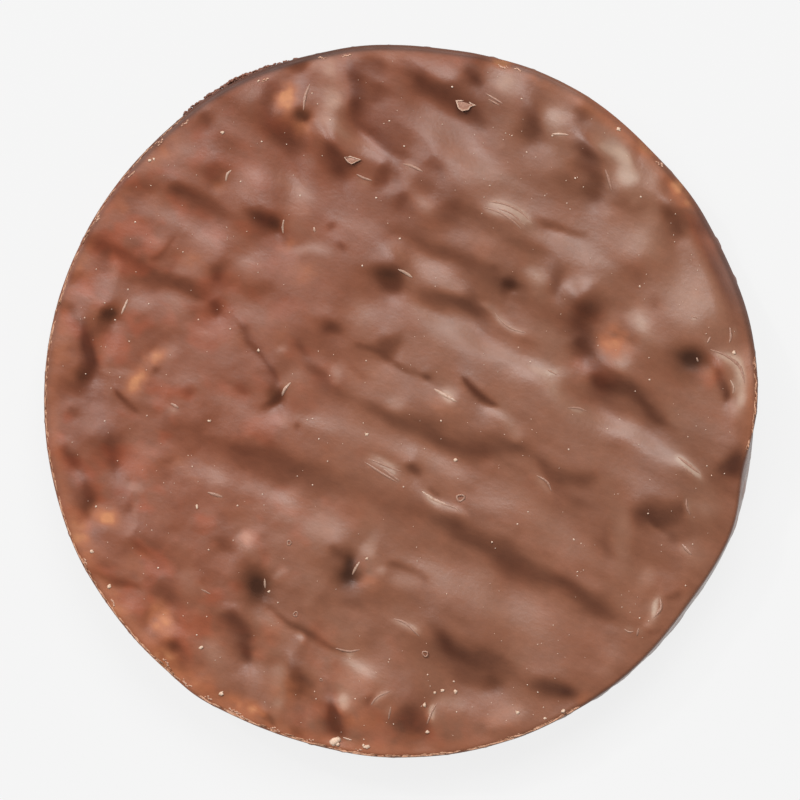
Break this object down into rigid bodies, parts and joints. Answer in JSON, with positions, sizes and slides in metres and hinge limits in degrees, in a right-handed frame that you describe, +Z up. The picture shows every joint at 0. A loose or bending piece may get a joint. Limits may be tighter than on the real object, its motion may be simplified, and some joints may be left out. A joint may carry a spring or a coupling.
{
  "type": "chocolate-coated puffed rice cake",
  "caption": "Round flat cake of puffed rice under a lumpy, streaked milk chocolate coat, with a rounded rim and a flat foot.",
  "frame": {"origin": "middle of the flat foot that the cake rests on", "axes": "+Z up through the cake's thickness, coated face up; +X to the right and +Y away, seen from above"},
  "size_m": [0.0902, 0.09, 0.0098],
  "materials": {
    "milk_chocolate": "satin milk chocolate, thinner and warmer where grains press through"
  },
  "bodies": {
    "root": {"coated_rice_cake": "milk_chocolate"}
  },
  "joints": []
}
